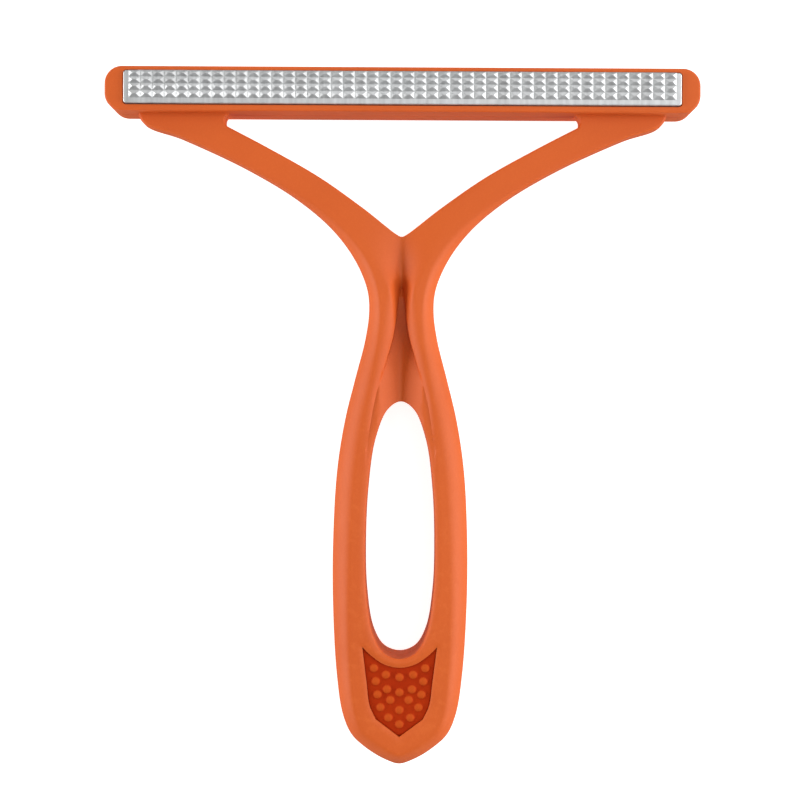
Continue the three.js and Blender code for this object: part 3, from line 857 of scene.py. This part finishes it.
class Nodes:
    """A material and short ways to add and join its nodes."""

    def __init__(self, name):
        self.material = bpy.data.materials.new(name)
        self.material.use_nodes = True
        self.tree = self.material.node_tree
        self.shader = self.tree.nodes["Principled BSDF"]
        self.place = self.add("ShaderNodeTexCoord").outputs["Object"]

    def add(self, kind, **settings):
        node = self.tree.nodes.new(kind)
        for key, value in settings.items():
            setattr(node, key, value)
        return node

    def join(self, output, socket):
        self.tree.links.new(output, socket)

    def set(self, **values):
        for key, value in values.items():
            self.shader.inputs[key.replace("_", " ")].default_value = value

    def stretched(self, scale):
        mapping = self.add("ShaderNodeMapping")
        mapping.inputs["Scale"].default_value = scale
        self.join(self.place, mapping.inputs["Vector"])
        return mapping.outputs["Vector"]

    def noise(self, scale, detail=3.0, place=None, roughness=0.5):
        node = self.add("ShaderNodeTexNoise")
        self.join(place or self.place, node.inputs["Vector"])
        node.inputs["Scale"].default_value = scale
        node.inputs["Detail"].default_value = detail
        node.inputs["Roughness"].default_value = roughness
        return node.outputs["Fac"]

    def ranged(self, value, low, high, start=0.0, end=1.0):
        node = self.add("ShaderNodeMapRange")
        self.join(value, node.inputs["Value"])
        node.inputs["From Min"].default_value = start
        node.inputs["From Max"].default_value = end
        node.inputs["To Min"].default_value = low
        node.inputs["To Max"].default_value = high
        return node.outputs["Result"]

    def math(self, operation, first, second=None):
        node = self.add("ShaderNodeMath", operation=operation)
        for socket, value in zip(node.inputs, (first, second)):
            if isinstance(value, bpy.types.NodeSocket):
                self.join(value, socket)
            elif value is not None:
                socket.default_value = value
        return node.outputs["Value"]

    def above_middle(self):
        """Height in front of the mid-plane, or behind it on the rear half."""
        parts = self.add("ShaderNodeSeparateXYZ")
        self.join(self.place, parts.inputs["Vector"])
        return self.math("ABSOLUTE", self.math("SUBTRACT", parts.outputs["Z"], MIDDLE * MM))

    def ramp(self, value, stops):
        node = self.add("ShaderNodeValToRGB")
        self.join(value, node.inputs["Fac"])
        elements = node.color_ramp.elements
        while len(elements) < len(stops):
            elements.new(0.5)
        for element, (position, colour) in zip(elements, stops):
            element.position = position
            element.color = (*colour, 1)
        return node.outputs["Color"]

    def mixed(self, amount, first, second):
        node = self.add("ShaderNodeMix", data_type="RGBA")
        self.join(amount, node.inputs["Factor"])
        for socket, value in ((node.inputs["A"], first), (node.inputs["B"], second)):
            if isinstance(value, tuple):
                socket.default_value = (*value, 1)
            else:
                self.join(value, socket)
        return node.outputs["Result"]

    def bump(self, value, strength, distance, under=None):
        node = self.add("ShaderNodeBump")
        self.join(value, node.inputs["Height"])
        node.inputs["Strength"].default_value = strength
        node.inputs["Distance"].default_value = distance
        if under:
            self.join(under, node.inputs["Normal"])
        return node.outputs["Normal"]


def orange_plastic():
    """Satin moulded plastic, a little paler and smoother where its high faces are rubbed."""
    n = Nodes("orange_plastic_fine")
    broad = n.noise(28, 4)
    base = n.ramp(broad, [(0.3, (0.58, 0.095, 0.013)), (0.7, (0.63, 0.109, 0.016))])
    speck = n.noise(1900, 2)
    base = n.mixed(n.ranged(speck, 0.0, 0.10, 0.45, 0.75), base, (0.80, 0.18, 0.03))
    proud = n.ranged(n.above_middle(), 0.0, 1.0, (BAR_FACE - 0.3) * MM, HALF_DEPTH * MM)
    scuffs = n.ranged(n.noise(420, 6, roughness=0.7), 0.0, 1.0, 0.5, 0.72)
    worn = n.math("MULTIPLY", proud, scuffs)
    base = n.mixed(n.ranged(worn, 0.0, 0.22), base, (0.82, 0.20, 0.045))
    n.join(base, n.shader.inputs["Base Color"])
    texture = n.ranged(n.noise(160, 5), 0.46, 0.57)
    n.join(n.math("SUBTRACT", texture, n.ranged(worn, 0.0, 0.08)), n.shader.inputs["Roughness"])
    grain = n.bump(n.noise(5200, 3, roughness=0.6), 0.25, 0.00003)
    n.join(n.bump(n.noise(240, 3), 0.12, 0.0002, grain), n.shader.inputs["Normal"])
    n.set(IOR=1.35, Specular_IOR_Level=0.45)
    return n.material


def toothed_metal():
    """Brushed across the rows, with a few duller stains."""
    n = Nodes("toothed_metal_fine")
    brush = n.noise(900, 4, n.stretched((1.0, 0.08, 1.0)))
    base = n.ramp(brush, [(0.3, (0.55, 0.56, 0.565)), (0.7, (0.70, 0.71, 0.715))])
    stain = n.ranged(n.noise(220, 4), 0.0, 0.35, 0.5, 0.8)
    base = n.mixed(stain, base, (0.38, 0.37, 0.36))
    n.join(base, n.shader.inputs["Base Color"])
    n.join(n.ranged(brush, 0.40, 0.52), n.shader.inputs["Roughness"])
    n.join(n.bump(brush, 0.25, 0.00004), n.shader.inputs["Normal"])
    n.set(Metallic=1.0)
    return n.material


def pad_rubber():
    """Painted shade, dark between the nubs, and a painted highlight that makes the nubs' tops paler."""
    n = Nodes("grip_pad_fine")
    # painted shade and highlight by height: at the pad's face the pad takes the shaded colour, and
    # towards the nub tops it takes the paler lit colour
    foot, crown = PAD_FACE + 0.03, PAD_FACE + NUB_HEIGHT * 0.6
    top = n.ranged(n.above_middle(), 0.0, 1.0, foot * MM, crown * MM)
    # these darker colours are painted shade for the recess between the nubs
    floor = n.ramp(n.noise(120, 4), [(0.3, (0.37, 0.022, 0.001)), (0.7, (0.42, 0.029, 0.001))])
    base = n.mixed(top, floor, (0.52, 0.072, 0.008))
    n.join(base, n.shader.inputs["Base Color"])
    n.join(n.ranged(n.noise(300, 4), 0.68, 0.82), n.shader.inputs["Roughness"])
    n.join(n.bump(n.noise(3800, 4, roughness=0.65), 0.3, 0.00004), n.shader.inputs["Normal"])
    n.set(Specular_IOR_Level=0.08)
    return n.material


def bond_film():
    n = Nodes("bond_film_fine")
    base = n.ramp(n.noise(400, 3), [(0.3, (0.012, 0.011, 0.010)), (0.7, (0.035, 0.032, 0.030))])
    n.join(base, n.shader.inputs["Base Color"])
    n.join(n.ranged(n.noise(900, 3), 0.6, 0.8), n.shader.inputs["Roughness"])
    n.join(n.bump(n.noise(2500, 3), 0.3, 0.00005), n.shader.inputs["Normal"])
    return n.material


def screw_steel():
    n = Nodes("screw_steel_fine")
    turned = n.noise(1400, 4, n.stretched((1.0, 1.0, 0.1)))
    base = n.ramp(turned, [(0.3, (0.42, 0.42, 0.43)), (0.7, (0.58, 0.58, 0.59))])
    n.join(base, n.shader.inputs["Base Color"])
    n.join(n.ranged(turned, 0.25, 0.45), n.shader.inputs["Roughness"])
    n.join(n.bump(turned, 0.2, 0.00003), n.shader.inputs["Normal"])
    n.set(Metallic=1.0)
    return n.material


def floor_white():
    """A pale floor with a glow of its own, so that it shows white behind the tool."""
    n = Nodes("floor_white")
    base = n.ramp(n.noise(6, 2), [(0.3, (0.60, 0.60, 0.60)), (0.7, (0.63, 0.63, 0.63))])
    n.join(base, n.shader.inputs["Base Color"])
    n.set(Roughness=0.9, Specular_IOR_Level=0.1, Emission_Color=(1, 1, 1, 1), Emission_Strength=0.84)
    return n.material


def paint(obj, material):
    """Gives a piece one material, in every slot that it has."""
    if obj.data.materials:
        for slot in obj.material_slots:
            slot.material = material
    else:
        obj.data.materials.append(material)


# ---- Camera, floor and light ----

FLOOR_HALF = 12.0  # metres
CAMERA_ABOVE_BAR = 410.0
VIEW_TO_HEAD = 218.4 / 163  # width of the view at the bar's face, over the head's width
VIEW_CENTRE = (-0.25, 4.8)
VIEW_TURN = 0.3  # degrees


def add_camera():
    camera = bpy.data.objects.new("camera", bpy.data.cameras.new("camera"))
    bpy.context.scene.collection.objects.link(camera)
    height = MIDDLE + BAR_FACE + CAMERA_ABOVE_BAR
    camera.location = (VIEW_CENTRE[0] * MM, VIEW_CENTRE[1] * MM, height * MM)
    camera.rotation_euler = (0, 0, math.radians(VIEW_TURN))
    view_width = VIEW_TO_HEAD * 2 * HALF_HEAD
    camera.data.angle = 2 * math.atan(view_width / 2 / CAMERA_ABOVE_BAR)
    camera.data.clip_start = 0.01
    bpy.context.scene.camera = camera


def add_floor():
    signs = [(-1, -1), (1, -1), (1, 1), (-1, 1)]
    corners = [(x * FLOOR_HALF, y * FLOOR_HALF, 0) for x, y in signs]
    mesh = bpy.data.meshes.new("floor")
    mesh.from_pydata(corners, [], [(0, 1, 2, 3)])
    floor = bpy.data.objects.new("floor", mesh)
    bpy.context.scene.collection.objects.link(floor)
    floor.data.materials.append(floor_white())
    floor.visible_glossy = False  # the glow would turn the steep walls pink


def add_light(name, place, size, power):
    """A soft white panel that faces the tool."""
    data = bpy.data.lights.new(name, "AREA")
    data.shape = "RECTANGLE"
    data.size, data.size_y = size
    data.energy = power
    light = bpy.data.objects.new(name, data)
    light.location = place
    light.rotation_euler = (-Vector(place)).to_track_quat("-Z", "Y").to_euler()
    bpy.context.scene.collection.objects.link(light)


def add_lights():
    add_light("key", (0.85, 0.26, 0.66), (1.0, 1.0), 7.9)
    add_light("back", (0.0, 1.05, 0.45), (1.2, 0.4), 2.6)
    add_light("low_left", (-1.0, 0.0, 0.32), (1.0, 0.4), 10.5)
    add_light("low_right", (1.05, -0.15, 0.30), (0.9, 0.35), 6.5)
    add_light("low_front", (0.0, -1.1, 0.28), (1.2, 0.35), 1.8)
    add_light("overhead", (0.0, 0.03, 0.52), (0.45, 0.45), 0.7)
    world = bpy.data.worlds.new("studio")
    world.use_nodes = True
    background = world.node_tree.nodes["Background"]
    background.inputs["Color"].default_value = (1, 1, 1, 1)
    background.inputs["Strength"].default_value = 0.14
    bpy.context.scene.world = world
    bpy.context.scene.view_settings.view_transform = "Standard"


# ---- Assembly ----

def build_tool():
    plastic, metal, rubber = orange_plastic(), toothed_metal(), pad_rubber()
    handle, pad = handle_shape(), pad_shape()
    for side, rear in (("front", False), ("rear", True)):
        paint(make_shell(f"{side}_shell_skin", f"{side}_shell", handle, rear), plastic)
        paint(make_strip(f"{side}_strip_teeth", f"{side}_toothed_strip", rear), metal)
        paint(make_pad(f"{side}_pad_nubs", f"{side}_grip_pad", pad, rear), rubber)
    film, steel = bond_film(), screw_steel()
    for name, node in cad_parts.items():
        if name.endswith("adhesive"):
            paint(node, film)
        elif "screw" in name:
            paint(node, steel)


add_camera()
add_floor()
add_lights()
build_tool()
